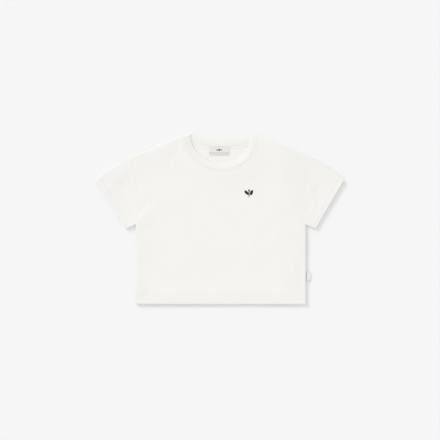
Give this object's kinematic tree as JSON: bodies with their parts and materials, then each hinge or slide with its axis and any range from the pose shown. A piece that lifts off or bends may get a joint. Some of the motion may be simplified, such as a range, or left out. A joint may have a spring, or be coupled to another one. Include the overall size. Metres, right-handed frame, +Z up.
{
  "type": "t-shirt",
  "caption": "Boxy off-white crew-neck T-shirt with wide short sleeves and a ribbed collar, laid flat, front up.",
  "frame": {"origin": "on the resting surface, under the middle of the box round the garment", "axes": "+Z up off the surface; +X towards the wearer's left sleeve, across the garment; +Y from the hem to the neck"},
  "size_m": [0.757, 0.5207, 0.0057],
  "materials": {
    "jersey": "matt off-white cotton jersey",
    "rib": "matt off-white cotton rib",
    "neck_label": "smooth woven tape, pale grey",
    "side_label": "woven tape, pale grey with a charcoal stripe"
  },
  "bodies": {
    "root": {"front": "jersey", "back": "jersey", "sleeve_left": "jersey", "sleeve_right": "jersey", "neck_rib": "rib", "neck_label": "neck_label", "side_label": "side_label"}
  },
  "joints": []
}
